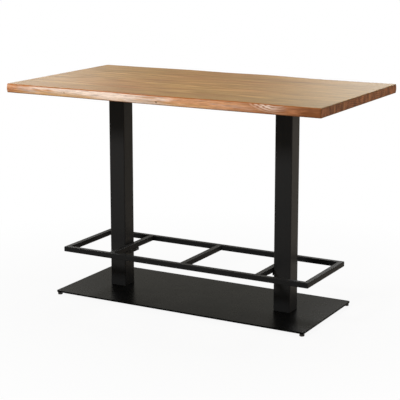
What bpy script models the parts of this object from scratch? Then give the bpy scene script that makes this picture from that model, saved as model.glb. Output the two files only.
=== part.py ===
"""Bar-height table: a live-edge wooden top on two steel columns, with a footrest and a flat base plate.

Runs in Blender 4.5. Units are metres, +Z is up, +X runs along the table and -Y is its front.
The origin is on the floor, under the middle of the table.
"""

import math

import bmesh
import bpy

# Overall sizes
TABLE_HEIGHT = 1.050
TOUCH_GAP = 0.0003  # kept between pieces that touch

# Wooden top, with the staves listed from the front edge to the back edge
TOP_LENGTH = 1.600
TOP_THICKNESS = 0.042
STAVE_WIDTHS = (0.162, 0.101, 0.150, 0.143, 0.109, 0.073, 0.162)
END_CHAMFER = 0.002
CORNER_RADIUS = 0.006

# Live edges: (place along the half length from -1 to 1, steps of depth inside the outermost line)
LIVE_EDGE_STEP = 0.001
FRONT_UPPER_WAVE = ((-1.0, 14), (-0.69, 7), (-0.31, 13), (-0.08, 0),
                    (0.22, 10), (0.55, 22), (0.78, 13), (1.0, 15))
FRONT_LOWER_WAVE = ((-1.0, 13), (-0.60, 16), (-0.10, 9), (0.40, 8), (1.0, 12))
BACK_UPPER_WAVE = ((-1.0, 17), (-0.80, 16), (-0.40, 2), (-0.12, 11),
                   (0.16, 0), (0.55, 24), (0.78, 20), (1.0, 10))
BACK_LOWER_WAVE = ((-1.0, 14), (-0.50, 8), (0.05, 12), (0.50, 16), (1.0, 12))
LIVE_EDGE_BULGE = 0.003
FRONT_ARRIS_RADIUS = 0.005
BACK_ARRIS_RADIUS = 0.009
LOWER_ARRIS_RADIUS = 0.006
LIVE_EDGE_STATIONS = 25
ARRIS_STEPS = 3
FACE_STEPS = 4

# Columns
COLUMN_SIZE = 0.085
COLUMN_WALL = 0.003
COLUMN_CORNER_RADIUS = 0.006
COLUMN_SPACING = 0.894

# Head plates under the top
HEAD_PLATE_LENGTH = 0.600  # across the top
HEAD_PLATE_WIDTH = 0.160
HEAD_PLATE_THICKNESS = 0.006
HEAD_PLATE_CORNER_RADIUS = 0.012
HEAD_SCREW_EDGE = 0.030  # from the plate's edges to the corner screws
HEAD_SCREW_INNER = 0.120  # from the column's axis to the inner screws
HEAD_SLOT_TRAVEL = 0.006  # length of a slot beyond its width

# Wood screws
SCREW_RADIUS = 0.0025
SCREW_DEPTH = 0.030  # into the wood
SCREW_HEAD_RADIUS = 0.006
SCREW_HEAD_HEIGHT = 0.0032
SCREW_HEAD_RIM = 0.0018  # height of the head's straight rim
SCREW_CROWN_RADIUS = 0.0042
SCREW_POINT = 0.006
SCREW_TIP_RADIUS = 0.0003

# Base plate
BASE_LENGTH = 1.325
BASE_WIDTH = 0.535
BASE_THICKNESS = 0.008
BASE_CORNER_RADIUS = 0.010
BASE_EDGE_CHAMFER = 0.0008
BASE_CLEARANCE = 0.0125  # from the floor to the plate's underside

# Foot plates inside the columns, and their bolts
FOOT_PLATE_THICKNESS = 0.012
BASE_BOLT_PITCH = 0.046
BASE_BOLT_RADIUS = 0.004
BASE_BOLT_HEAD_RADIUS = 0.0075
BASE_BOLT_HEAD_HEIGHT = 0.004
BASE_BOLT_RECESS = 0.0005
BASE_BOLT_THREAD = 0.010  # inside the foot plate

# Levelling feet
FOOT_INSET = 0.014  # from the base plate's edges to the foot's axis
FOOT_PAD_RADIUS = 0.0115
FOOT_PAD_HEIGHT = 0.011
FOOT_PAD_ROUNDING = 0.002
FOOT_STEM_RADIUS = 0.004
FOOT_STEM_SEAT = 0.0035  # height of the stem's lower end in the pad
FOOT_STEM_RECESS = 0.0005  # from the stem's top to the plate's top face

# Footrest
FOOTREST_LENGTH = 1.305
FOOTREST_WIDTH = 0.415
FOOTREST_HEIGHT = 0.229  # top face of the rails
RAIL_SIZE = 0.025
RAIL_WALL = 0.0015
RAIL_CORNER_RADIUS = 0.003

# Footrest brackets, their bolts and the nut plates
BRACKET_LENGTH = 0.090
BRACKET_DROP = 0.0145
BRACKET_WALL = 0.003
BRACKET_BOLT_PITCH = 0.060
BRACKET_BOLT_RADIUS = 0.003
BRACKET_BOLT_HEAD_RADIUS = 0.005
BRACKET_BOLT_HEAD_HEIGHT = 0.0033
BRACKET_BOLT_HEAD_RIM = 0.0013  # height of the head's straight rim
BRACKET_BOLT_CROWN_RADIUS = 0.0036
KEY_HOLE_RADIUS = 0.0034
NUT_PLATE_LENGTH = 0.074
NUT_PLATE_HEIGHT = 0.016
NUT_PLATE_THICKNESS = 0.005

# Facets
CORNER_STEPS = 4
BASE_CORNER_STEPS = 8
ROUND_SIDES = 12
PAD_SIDES = 24
SMOOTH_ANGLE = math.radians(35)
CUTTER_OVERSHOOT = 0.002

# Derived heights and places
TOP_WIDTH = sum(STAVE_WIDTHS)
TOP_UNDERSIDE = TABLE_HEIGHT - TOP_THICKNESS
HEAD_PLATE_TOP = TOP_UNDERSIDE - TOUCH_GAP
HEAD_PLATE_BOTTOM = HEAD_PLATE_TOP - HEAD_PLATE_THICKNESS
COLUMN_TOP = HEAD_PLATE_BOTTOM - TOUCH_GAP
BASE_TOP = BASE_CLEARANCE + BASE_THICKNESS
COLUMN_BOTTOM = BASE_TOP + TOUCH_GAP
COLUMN_BORE = COLUMN_SIZE - 2 * COLUMN_WALL
COLUMN_BORE_RADIUS = max(COLUMN_CORNER_RADIUS - COLUMN_WALL, TOUCH_GAP)
CROSSBAR_OFFSET = COLUMN_SPACING / 2 - COLUMN_SIZE / 2 - TOUCH_GAP - RAIL_SIZE / 2
BRACKET_TOP = FOOTREST_HEIGHT - RAIL_SIZE - TOUCH_GAP
BRACKET_BOLT_HEIGHT = BRACKET_TOP - BRACKET_WALL - (BRACKET_DROP - BRACKET_WALL) / 2
BRACKET_BOLT_PLACES = (-BRACKET_BOLT_PITCH / 2, BRACKET_BOLT_PITCH / 2)
SIDES = {"left": -1, "right": 1}
ENDS = {"front": -1, "back": 1}


# Scene and materials


def clear_scene():
    """Remove every object of the scene."""
    for item in list(bpy.data.objects):
        bpy.data.objects.remove(item, do_unlink=True)


def make_material(name, colour, roughness, metallic):
    """Principled material of one colour."""
    material = bpy.data.materials.new(name)
    material.use_nodes = True
    shader = material.node_tree.nodes["Principled BSDF"]
    shader.inputs["Base Color"].default_value = (*colour, 1.0)
    shader.inputs["Roughness"].default_value = roughness
    shader.inputs["Metallic"].default_value = metallic
    return material


def add_object(name, body, material=None, location=(0, 0, 0), rotation=(0, 0, 0), parent=None):
    """Link a body to the scene under a name, shaded smooth between its sharp edges."""
    mesh = bpy.data.meshes.new(name)
    body.to_mesh(mesh)
    body.free()
    mesh.shade_smooth()
    mesh.set_sharp_from_angle(angle=SMOOTH_ANGLE)
    item = bpy.data.objects.new(name, mesh)
    item.location = location
    item.rotation_euler = rotation
    item.parent = parent
    if material:
        mesh.materials.append(material)
    bpy.context.scene.collection.objects.link(item)
    return item


# Shapes


def ring_body(rings, looped=False):
    """Closed body through rings of points, with caps, or with a last wall back to the first ring."""
    body = bmesh.new()
    add_rings(body, rings, looped)
    return body


def add_rings(body, rings, looped=False):
    """Add one closed shell through rings of points to a body."""
    loops = []
    for ring in rings:
        loops.append([body.verts.new(point) for point in ring])
    walls = list(zip(loops, loops[1:]))
    faces = []
    if looped:
        walls.append((loops[-1], loops[0]))
    else:
        faces.append(body.faces.new(loops[0]))
        faces.append(body.faces.new(loops[-1]))
    for lower, upper in walls:
        for index in range(len(lower)):
            after = (index + 1) % len(lower)
            faces.append(body.faces.new((lower[index], lower[after], upper[after], upper[index])))
    bmesh.ops.recalc_face_normals(body, faces=faces)


def rounded_rectangle(width, depth, radius, steps=CORNER_STEPS):
    """Outline of a rectangle with round corners, as (x, y) points about its middle."""
    outline = []
    for quarter, (side_x, side_y) in enumerate(((1, 1), (-1, 1), (-1, -1), (1, -1))):
        centre_x = side_x * (width / 2 - radius)
        centre_y = side_y * (depth / 2 - radius)
        for step in range(steps + 1):
            angle = math.radians(90) * (quarter + step / steps)
            outline.append((centre_x + radius * math.cos(angle), centre_y + radius * math.sin(angle)))
    return outline


def at_height(outline, height):
    """An outline's points at one height."""
    return [(x, y, height) for x, y in outline]


def turned_rings(profile, sides, centre=(0, 0)):
    """Rings of a turned shape about Z, from (radius, height) points."""
    rings = []
    for radius, height in profile:
        ring = []
        for side in range(sides):
            angle = 2 * math.pi * side / sides
            ring.append((centre[0] + radius * math.cos(angle), centre[1] + radius * math.sin(angle), height))
        rings.append(ring)
    return rings


def turned_rings_along_x(profile, y, z):
    """Rings of a turned shape about a line along X, from (radius, x) points."""
    rings = []
    for radius, x in profile:
        ring = []
        for side in range(ROUND_SIDES):
            angle = 2 * math.pi * side / ROUND_SIDES
            ring.append((x, y + radius * math.cos(angle), z + radius * math.sin(angle)))
        rings.append(ring)
    return rings


def cut_holes(piece, hole_rings):
    """Cut holes, given as rings in the piece's own frame, with one cutter object."""
    cutter_body = bmesh.new()
    for rings in hole_rings:
        add_rings(cutter_body, rings)
    cutter = add_object(piece.name + "_cutter", cutter_body, parent=piece)
    cutter.hide_render = True
    cutter.display_type = "WIRE"
    holes = piece.modifiers.new("holes", "BOOLEAN")
    holes.operation = "DIFFERENCE"
    holes.solver = "EXACT"
    holes.object = cutter


# Wooden top


def wave_depth(wave, place):
    """Depth of a live edge at a place along the top, eased between the wave's points."""
    steps = wave[-1][1]
    for (place_a, steps_a), (place_b, steps_b) in zip(wave, wave[1:]):
        if place <= place_b:
            share = (place - place_a) / (place_b - place_a)
            steps = steps_a + (steps_b - steps_a) * share * share * (3 - 2 * share)
            break
    return steps * LIVE_EDGE_STEP


def live_edge_stations(edge):
    """Places along X for the sections of a live-edge stave, closer together at its rounded ends."""
    half = TOP_LENGTH / 2
    straight = half - CORNER_RADIUS
    stations = {-half, half, END_CHAMFER - half, half - END_CHAMFER}
    for index in range(LIVE_EDGE_STATIONS):
        stations.add(straight * (2 * index / (LIVE_EDGE_STATIONS - 1) - 1))
    for step in range(1, CORNER_STEPS):
        reach = straight + CORNER_RADIUS * math.sin(math.radians(90) * step / CORNER_STEPS)
        stations.update((-reach, reach))
    for wave in edge[:2]:
        stations.update(place * half for place, steps in wave)
    return sorted(stations)


def live_edge_section(x, edge, inner):
    """Section of a live-edge stave at x, its outermost line at y = 0 and its glued face at y = inner."""
    half = TOP_LENGTH / 2
    upper_wave, lower_wave, arris = edge
    to_end = half - abs(x)
    trim = max(0.0, END_CHAMFER - to_end)
    corner = max(0.0, CORNER_RADIUS - to_end)
    corner_depth = CORNER_RADIUS - math.sqrt(max(0.0, CORNER_RADIUS**2 - corner**2))
    upper = wave_depth(upper_wave, x / half) + corner_depth
    lower = wave_depth(lower_wave, x / half) + corner_depth
    top = TOP_THICKNESS - trim
    bottom = trim
    section = [(x, inner, bottom), (x, inner, top)]
    for step in range(ARRIS_STEPS):
        angle = math.radians(90) * step / ARRIS_STEPS
        depth = upper + arris * (1 - math.sin(angle))
        section.append((x, depth, top - arris * (1 - math.cos(angle))))
    for step in range(FACE_STEPS + 1):
        share = step / FACE_STEPS
        start = top - arris
        height = start + (bottom + LOWER_ARRIS_RADIUS - start) * share
        bulge = LIVE_EDGE_BULGE * math.sin(math.pi * share)
        section.append((x, upper + (lower - upper) * share - bulge, height))
    for step in range(1, ARRIS_STEPS + 1):
        angle = math.radians(90) * step / ARRIS_STEPS
        depth = lower + LOWER_ARRIS_RADIUS * (1 - math.cos(angle))
        section.append((x, depth, bottom + LOWER_ARRIS_RADIUS * (1 - math.sin(angle))))
    return section


def live_edge_stave(name, edge, width, outward, wood):
    """Outer stave: straight on its glued side and wavy on its outer side.

    The edge is its upper wave, its lower wave and the radius of its upper arris.
    """
    inner = width - TOUCH_GAP / 2
    rings = []
    for x in live_edge_stations(edge):
        section = live_edge_section(x, edge, inner)
        rings.append([(x, -outward * depth, height) for x, depth, height in section])
    place = (0, outward * TOP_WIDTH / 2, TOP_UNDERSIDE)
    return add_object(name, ring_body(rings), wood, place)


def inner_stave(name, middle, width, wood):
    """Inner stave: square on both glued sides, chamfered at its ends."""
    half = TOP_LENGTH / 2
    side = (width - TOUCH_GAP) / 2
    inset = half - END_CHAMFER
    rings = []
    for x, trim in ((-half, END_CHAMFER), (-inset, 0), (inset, 0), (half, END_CHAMFER)):
        top = TOP_THICKNESS - trim
        rings.append([(x, -side, trim), (x, side, trim), (x, side, top), (x, -side, top)])
    return add_object(name, ring_body(rings), wood, (0, middle, TOP_UNDERSIDE))


def head_screw_places():
    """Places of all wood screws, as (side, number, x, y)."""
    corner_x = HEAD_PLATE_WIDTH / 2 - HEAD_SCREW_EDGE
    corner_y = HEAD_PLATE_LENGTH / 2 - HEAD_SCREW_EDGE
    pattern = [(x, y) for y in (-corner_y, corner_y) for x in (-corner_x, corner_x)]
    pattern += [(0, -HEAD_SCREW_INNER), (0, HEAD_SCREW_INNER)]
    places = []
    for side, sign in SIDES.items():
        for number, (x, y) in enumerate(pattern, 1):
            places.append((side, number, sign * COLUMN_SPACING / 2 + x, y))
    return places


def build_top(wood):
    """Edge-glued top: two live-edge staves, the staves between them, and pilot holes for the screws."""
    front_edge = -TOP_WIDTH / 2
    last = len(STAVE_WIDTHS) - 1
    pilot_radius = SCREW_RADIUS + TOUCH_GAP
    for index, width in enumerate(STAVE_WIDTHS):
        back_edge = front_edge + width
        middle = (front_edge + back_edge) / 2
        if index == 0:
            edge = (FRONT_UPPER_WAVE, FRONT_LOWER_WAVE, FRONT_ARRIS_RADIUS)
            stave = live_edge_stave("front_live_edge_stave", edge, width, -1, wood)
        elif index == last:
            edge = (BACK_UPPER_WAVE, BACK_LOWER_WAVE, BACK_ARRIS_RADIUS)
            stave = live_edge_stave("back_live_edge_stave", edge, width, 1, wood)
        else:
            stave = inner_stave(f"top_stave_{index}", middle, width, wood)
        holes = []
        for side, number, x, y in head_screw_places():
            if front_edge - pilot_radius < y < back_edge + pilot_radius:
                profile = ((pilot_radius, -CUTTER_OVERSHOOT), (pilot_radius, SCREW_DEPTH + TOUCH_GAP))
                holes.append(turned_rings(profile, ROUND_SIDES, (x, y - stave.location.y)))
        if holes:
            cut_holes(stave, holes)
        front_edge = back_edge


# Columns and head plates


def build_columns(steel):
    """Square tube columns, with holes for the footrest bolts in their inner walls."""
    outer = rounded_rectangle(COLUMN_SIZE, COLUMN_SIZE, COLUMN_CORNER_RADIUS)
    bore = rounded_rectangle(COLUMN_BORE, COLUMN_BORE, COLUMN_BORE_RADIUS)
    length = COLUMN_TOP - COLUMN_BOTTOM
    bolt_bore = BRACKET_BOLT_RADIUS + TOUCH_GAP
    bolt_height = BRACKET_BOLT_HEIGHT - COLUMN_BOTTOM
    for side, sign in SIDES.items():
        rings = [at_height(outer, 0), at_height(outer, length), at_height(bore, length), at_height(bore, 0)]
        place = (sign * COLUMN_SPACING / 2, 0, COLUMN_BOTTOM)
        column = add_object(f"{side}_column", ring_body(rings, looped=True), steel, place)
        inside = -sign * (COLUMN_BORE / 2 - CUTTER_OVERSHOOT)
        outside = -sign * (COLUMN_SIZE / 2 + CUTTER_OVERSHOOT)
        profile = ((bolt_bore, inside), (bolt_bore, outside))
        cut_holes(column, [turned_rings_along_x(profile, y, bolt_height) for y in BRACKET_BOLT_PLACES])


def slot_outline(radius, travel):
    """Outline of a slot along Y, as (x, y) points about its middle."""
    outline = []
    for end in (1, -1):
        for step in range(ROUND_SIDES // 2 + 1):
            angle = math.pi * step / (ROUND_SIDES // 2)
            outline.append((end * radius * math.cos(angle), end * (travel / 2 + radius * math.sin(angle))))
    return outline


def build_head_plates(steel):
    """Flat plates that carry the top, with slots that let the wood move across its grain."""
    outline = rounded_rectangle(HEAD_PLATE_WIDTH, HEAD_PLATE_LENGTH, HEAD_PLATE_CORNER_RADIUS)
    slot = slot_outline(SCREW_RADIUS + TOUCH_GAP, HEAD_SLOT_TRAVEL)
    for side, sign in SIDES.items():
        centre_x = sign * COLUMN_SPACING / 2
        rings = [at_height(outline, 0), at_height(outline, HEAD_PLATE_THICKNESS)]
        plate = add_object(f"{side}_head_plate", ring_body(rings), steel, (centre_x, 0, HEAD_PLATE_BOTTOM))
        slots = []
        for screw_side, number, x, y in head_screw_places():
            if screw_side == side:
                placed = [(slot_x + x - centre_x, slot_y + y) for slot_x, slot_y in slot]
                top = HEAD_PLATE_THICKNESS + CUTTER_OVERSHOOT
                slots.append([at_height(placed, -CUTTER_OVERSHOOT), at_height(placed, top)])
        cut_holes(plate, slots)


def build_head_screws(zinc):
    """Pan-head wood screws, driven up through the slots of the head plates."""
    under_plate = HEAD_PLATE_BOTTOM - TOUCH_GAP
    tip = TOP_UNDERSIDE + SCREW_DEPTH - under_plate
    profile = (
        (SCREW_CROWN_RADIUS, -SCREW_HEAD_HEIGHT),
        (SCREW_HEAD_RADIUS, -SCREW_HEAD_RIM),
        (SCREW_HEAD_RADIUS, 0),
        (SCREW_RADIUS, 0),
        (SCREW_RADIUS, tip - SCREW_POINT),
        (SCREW_TIP_RADIUS, tip),
    )
    for side, number, x, y in head_screw_places():
        body = ring_body(turned_rings(profile, ROUND_SIDES))
        add_object(f"{side}_top_screw_{number}", body, zinc, (x, y, under_plate))


# Base plate, foot plates and column bolts


def base_bolt_places():
    """Places of the column bolts, as (side, number, x, y)."""
    half = BASE_BOLT_PITCH / 2
    places = []
    for side, sign in SIDES.items():
        for number, (x, y) in enumerate(((-half, -half), (half, -half), (-half, half), (half, half)), 1):
            places.append((side, number, sign * COLUMN_SPACING / 2 + x, y))
    return places


def foot_places():
    """Places of the levelling feet, as (name, x, y)."""
    reach_x = BASE_LENGTH / 2 - FOOT_INSET
    reach_y = BASE_WIDTH / 2 - FOOT_INSET
    places = []
    for end, end_sign in ENDS.items():
        for side, side_sign in SIDES.items():
            places.append((f"{end}_{side}_foot", side_sign * reach_x, end_sign * reach_y))
    return places


def base_outline(inset):
    """Outline of the base plate, drawn in by an inset."""
    return rounded_rectangle(
        BASE_LENGTH - 2 * inset, BASE_WIDTH - 2 * inset, BASE_CORNER_RADIUS - inset, BASE_CORNER_STEPS)


def build_base_plate(steel):
    """Flat base plate with countersunk holes for the columns and tapped holes for the feet."""
    full = base_outline(0)
    eased = base_outline(BASE_EDGE_CHAMFER)
    rings = [
        at_height(eased, 0),
        at_height(full, BASE_EDGE_CHAMFER),
        at_height(full, BASE_THICKNESS - BASE_EDGE_CHAMFER),
        at_height(eased, BASE_THICKNESS),
    ]
    plate = add_object("base_plate", ring_body(rings), steel, (0, 0, BASE_CLEARANCE))
    above = BASE_THICKNESS + CUTTER_OVERSHOOT
    mouth = BASE_BOLT_HEAD_RADIUS + TOUCH_GAP
    bore = BASE_BOLT_RADIUS + TOUCH_GAP
    cone_end = BASE_BOLT_RECESS + BASE_BOLT_HEAD_HEIGHT
    countersink = (
        (mouth, -CUTTER_OVERSHOOT),
        (mouth, BASE_BOLT_RECESS),
        (bore, cone_end),
        (bore, above),
    )
    holes = []
    for side, number, x, y in base_bolt_places():
        holes.append(turned_rings(countersink, ROUND_SIDES, (x, y)))
    stem_bore = FOOT_STEM_RADIUS + TOUCH_GAP
    tapped = ((stem_bore, -CUTTER_OVERSHOOT), (stem_bore, above))
    for name, x, y in foot_places():
        holes.append(turned_rings(tapped, ROUND_SIDES, (x, y)))
    cut_holes(plate, holes)


def build_foot_plates(steel):
    """Thick plates inside the lower ends of the columns, tapped for the column bolts."""
    size = COLUMN_BORE - 2 * TOUCH_GAP
    outline = rounded_rectangle(size, size, COLUMN_BORE_RADIUS + TOUCH_GAP)
    bore = BASE_BOLT_RADIUS + TOUCH_GAP
    tapped = ((bore, -CUTTER_OVERSHOOT), (bore, FOOT_PLATE_THICKNESS + CUTTER_OVERSHOOT))
    for side, sign in SIDES.items():
        centre_x = sign * COLUMN_SPACING / 2
        rings = [at_height(outline, 0), at_height(outline, FOOT_PLATE_THICKNESS)]
        plate = add_object(f"{side}_column_foot_plate", ring_body(rings), steel, (centre_x, 0, COLUMN_BOTTOM))
        holes = []
        for bolt_side, number, x, y in base_bolt_places():
            if bolt_side == side:
                holes.append(turned_rings(tapped, ROUND_SIDES, (x - centre_x, y)))
        cut_holes(plate, holes)


def build_base_bolts(zinc):
    """Countersunk bolts, driven up through the base plate into the foot plates."""
    length = BASE_THICKNESS - BASE_BOLT_RECESS + TOUCH_GAP + BASE_BOLT_THREAD
    profile = (
        (BASE_BOLT_HEAD_RADIUS, 0),
        (BASE_BOLT_RADIUS, BASE_BOLT_HEAD_HEIGHT),
        (BASE_BOLT_RADIUS, length),
    )
    for side, number, x, y in base_bolt_places():
        body = ring_body(turned_rings(profile, ROUND_SIDES))
        add_object(f"{side}_column_bolt_{number}", body, zinc, (x, y, BASE_CLEARANCE + BASE_BOLT_RECESS))


# Levelling feet


def build_feet(rubber, zinc):
    """Levelling feet: a moulded pad on a threaded stem, both on the foot's own axis."""
    socket = FOOT_STEM_RADIUS + TOUCH_GAP
    stem_top = BASE_TOP - FOOT_STEM_RECESS
    stem_bottom = FOOT_STEM_SEAT + TOUCH_GAP
    pad_profile = (
        (FOOT_PAD_RADIUS - FOOT_PAD_ROUNDING / 2, 0),
        (FOOT_PAD_RADIUS, FOOT_PAD_ROUNDING),
        (FOOT_PAD_RADIUS, FOOT_PAD_HEIGHT - FOOT_PAD_ROUNDING),
        (FOOT_PAD_RADIUS - FOOT_PAD_ROUNDING, FOOT_PAD_HEIGHT),
        (socket, FOOT_PAD_HEIGHT),
        (socket, FOOT_STEM_SEAT),
    )
    stem_profile = ((FOOT_STEM_RADIUS, stem_bottom), (FOOT_STEM_RADIUS, stem_top))
    for name, x, y in foot_places():
        axis = bpy.data.objects.new(name, None)
        axis.location = (x, y, 0)
        bpy.context.scene.collection.objects.link(axis)
        add_object(f"{name}_pad", ring_body(turned_rings(pad_profile, PAD_SIDES)), rubber, parent=axis)
        add_object(f"{name}_stem", ring_body(turned_rings(stem_profile, ROUND_SIDES)), zinc, parent=axis)


# Footrest


def square_tube(length, mitre=0):
    """Square tube along X about its own axis. A mitre of 1 draws both ends in by 45 degrees towards +Y."""
    outer = rounded_rectangle(RAIL_SIZE, RAIL_SIZE, RAIL_CORNER_RADIUS)
    bore_size = RAIL_SIZE - 2 * RAIL_WALL
    bore = rounded_rectangle(bore_size, bore_size, max(RAIL_CORNER_RADIUS - RAIL_WALL, TOUCH_GAP))
    rings = []
    for outline, end in ((outer, -1), (outer, 1), (bore, 1), (bore, -1)):
        ring = []
        for across, height in outline:
            reach = length / 2 - mitre * (across + RAIL_SIZE / 2)
            ring.append((end * reach, across, height))
        rings.append(ring)
    return ring_body(rings, looped=True)


def build_footrest(steel):
    """Welded footrest frame: mitred rails round the outside, three crossbars between the long rails."""
    height = FOOTREST_HEIGHT - RAIL_SIZE / 2
    mitre_gap = TOUCH_GAP * math.sqrt(2)
    rail_y = (FOOTREST_WIDTH - RAIL_SIZE) / 2
    rail_x = (FOOTREST_LENGTH - RAIL_SIZE) / 2
    quarter = math.radians(90)
    long_rail = FOOTREST_LENGTH - mitre_gap
    short_rail = FOOTREST_WIDTH - mitre_gap
    rails = (
        ("front", long_rail, (0, -rail_y, height), 0),
        ("right", short_rail, (rail_x, 0, height), quarter),
        ("back", long_rail, (0, rail_y, height), 2 * quarter),
        ("left", short_rail, (-rail_x, 0, height), 3 * quarter),
    )
    for name, length, place, turn in rails:
        add_object(f"footrest_{name}_rail", square_tube(length, 1), steel, place, (0, 0, turn))
    crossbar = FOOTREST_WIDTH - 2 * RAIL_SIZE - 2 * TOUCH_GAP
    for name, x in (("left", -CROSSBAR_OFFSET), ("middle", 0), ("right", CROSSBAR_OFFSET)):
        add_object(f"footrest_{name}_crossbar", square_tube(crossbar), steel, (x, 0, height), (0, 0, quarter))


def build_brackets(steel, zinc):
    """Folded channels under the outer crossbars, bolted through the columns into nut plates."""
    half = RAIL_SIZE / 2
    fold = half - BRACKET_WALL
    section = (
        (-half, -BRACKET_DROP),
        (-half, 0),
        (half, 0),
        (half, -BRACKET_DROP),
        (fold, -BRACKET_DROP),
        (fold, -BRACKET_WALL),
        (-fold, -BRACKET_WALL),
        (-fold, -BRACKET_DROP),
    )
    bolt_drop = BRACKET_BOLT_HEIGHT - BRACKET_TOP
    bolt_bore = BRACKET_BOLT_RADIUS + TOUCH_GAP
    head_seat = fold - TOUCH_GAP
    nut_face = half + TOUCH_GAP + COLUMN_WALL + TOUCH_GAP
    bolt_end = nut_face + NUT_PLATE_THICKNESS
    bolt_profile = (
        (BRACKET_BOLT_CROWN_RADIUS, head_seat - BRACKET_BOLT_HEAD_HEIGHT),
        (BRACKET_BOLT_HEAD_RADIUS, head_seat - BRACKET_BOLT_HEAD_RIM),
        (BRACKET_BOLT_HEAD_RADIUS, head_seat),
        (BRACKET_BOLT_RADIUS, head_seat),
        (BRACKET_BOLT_RADIUS, bolt_end),
    )
    bolt_hole = ((bolt_bore, fold / 2), (bolt_bore, half + CUTTER_OVERSHOOT))
    key_hole = ((KEY_HOLE_RADIUS, -half - CUTTER_OVERSHOOT), (KEY_HOLE_RADIUS, -fold / 2))
    nut_hole = ((bolt_bore, nut_face - CUTTER_OVERSHOOT), (bolt_bore, bolt_end + CUTTER_OVERSHOOT))
    nut_outline = rounded_rectangle(NUT_PLATE_LENGTH, NUT_PLATE_HEIGHT, BRACKET_WALL)
    for side, sign in SIDES.items():
        # Each bracket is built with the column at its +X side, and turned about for the left column
        turn = (0, 0, 0 if sign > 0 else math.pi)
        place = (sign * CROSSBAR_OFFSET, 0, BRACKET_TOP)
        rings = []
        for y in (-BRACKET_LENGTH / 2, BRACKET_LENGTH / 2):
            rings.append([(x, y, z) for x, z in section])
        bracket = add_object(f"{side}_footrest_bracket", ring_body(rings), steel, place, turn)
        holes = []
        for y in BRACKET_BOLT_PLACES:
            holes.append(turned_rings_along_x(bolt_hole, y, bolt_drop))
            holes.append(turned_rings_along_x(key_hole, y, bolt_drop))
        cut_holes(bracket, holes)
        nut_rings = []
        for x in (nut_face, nut_face + NUT_PLATE_THICKNESS):
            nut_rings.append([(x, y, z + bolt_drop) for y, z in nut_outline])
        nut_plate = add_object(f"{side}_footrest_nut_plate", ring_body(nut_rings), steel, place, turn)
        cut_holes(nut_plate, [turned_rings_along_x(nut_hole, y, bolt_drop) for y in BRACKET_BOLT_PLACES])
        for number, y in enumerate(BRACKET_BOLT_PLACES, 1):
            bolt = ring_body(turned_rings_along_x(bolt_profile, y, bolt_drop))
            add_object(f"{side}_footrest_bolt_{number}", bolt, zinc, place, turn)


def main():
    """Build the whole table."""
    clear_scene()
    wood = make_material("oiled solid wood", (0.42, 0.25, 0.12), 0.5, 0.0)
    steel = make_material("black powder-coated steel", (0.02, 0.02, 0.02), 0.45, 0.3)
    zinc = make_material("zinc-plated steel", (0.55, 0.56, 0.58), 0.35, 1.0)
    rubber = make_material("black moulded rubber", (0.015, 0.015, 0.015), 0.8, 0.0)
    build_top(wood)
    build_columns(steel)
    build_head_plates(steel)
    build_head_screws(zinc)
    build_base_plate(steel)
    build_foot_plates(steel)
    build_base_bolts(zinc)
    build_feet(rubber, zinc)
    build_footrest(steel)
    build_brackets(steel, zinc)


main()
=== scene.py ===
# %% [markdown]
# A bar-height table with live edges
#
# This lesson dresses a CAD table for a product picture. The CAD model already gives every piece its
# place and its size, in metres, so nothing here is fitted by eye. What is left is what a drawing leaves
# out: wood grain, natural edges, powder coat, weld beads, screw recesses, light and a camera.

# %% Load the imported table
import math

import bmesh
import bpy
from mathutils import Matrix, Vector, noise


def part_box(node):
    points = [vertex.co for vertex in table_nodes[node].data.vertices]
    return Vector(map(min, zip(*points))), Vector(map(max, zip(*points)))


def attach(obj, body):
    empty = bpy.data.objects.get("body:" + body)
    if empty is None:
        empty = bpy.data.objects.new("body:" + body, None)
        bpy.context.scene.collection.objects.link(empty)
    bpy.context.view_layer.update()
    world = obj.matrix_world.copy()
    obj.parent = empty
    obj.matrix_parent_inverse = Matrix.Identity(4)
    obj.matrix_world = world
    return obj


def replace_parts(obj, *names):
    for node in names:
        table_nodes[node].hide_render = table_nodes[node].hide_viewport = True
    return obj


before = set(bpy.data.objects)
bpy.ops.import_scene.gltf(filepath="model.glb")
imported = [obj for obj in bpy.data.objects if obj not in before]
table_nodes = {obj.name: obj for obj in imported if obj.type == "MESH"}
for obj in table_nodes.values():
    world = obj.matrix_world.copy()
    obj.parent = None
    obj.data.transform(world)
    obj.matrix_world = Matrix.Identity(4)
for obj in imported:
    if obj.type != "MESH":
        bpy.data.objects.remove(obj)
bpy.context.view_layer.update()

# %% [markdown]
# Colours and nodes
#
# A hex colour is an sRGB value, as a screen shows it, while a shader works with linear light, so one
# function turns it into the numbers that a socket expects. Two more fill a node's inputs and add a node,
# so that it is set and linked in one line. Wood is many tints laid over each other, so the last one
# mixes a tint into a colour wherever some values lie in given ranges. With these, each finish below
# reads like a recipe.

# %% Helpers for colours and nodes
FIRST, SECOND = 6, 7  # colour sockets of a Mix node
BLEND = 2  # its colour output


def linear(hex_colour):
    """Linear RGBA of an sRGB hex colour."""
    rgba = []
    for start in (1, 3, 5):
        channel = int(hex_colour[start:start + 2], 16) / 255
        rgba.append(channel / 12.92 if channel <= 0.04045 else ((channel + 0.055) / 1.055) ** 2.4)
    return (*rgba, 1.0)


def fill(tree, node, inputs):
    """Fill a node's inputs with values or with other nodes' outputs."""
    for socket, value in inputs.items():
        if isinstance(value, bpy.types.NodeSocket):
            tree.links.new(value, node.inputs[socket])
        else:
            node.inputs[socket].default_value = value


def add_node(tree, kind, inputs=None, **settings):
    """Add a shader node with its settings and its inputs."""
    node = tree.nodes.new("ShaderNode" + kind)
    for name, value in settings.items():
        setattr(node, name, value)
    fill(tree, node, inputs or {})
    return node


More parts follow.
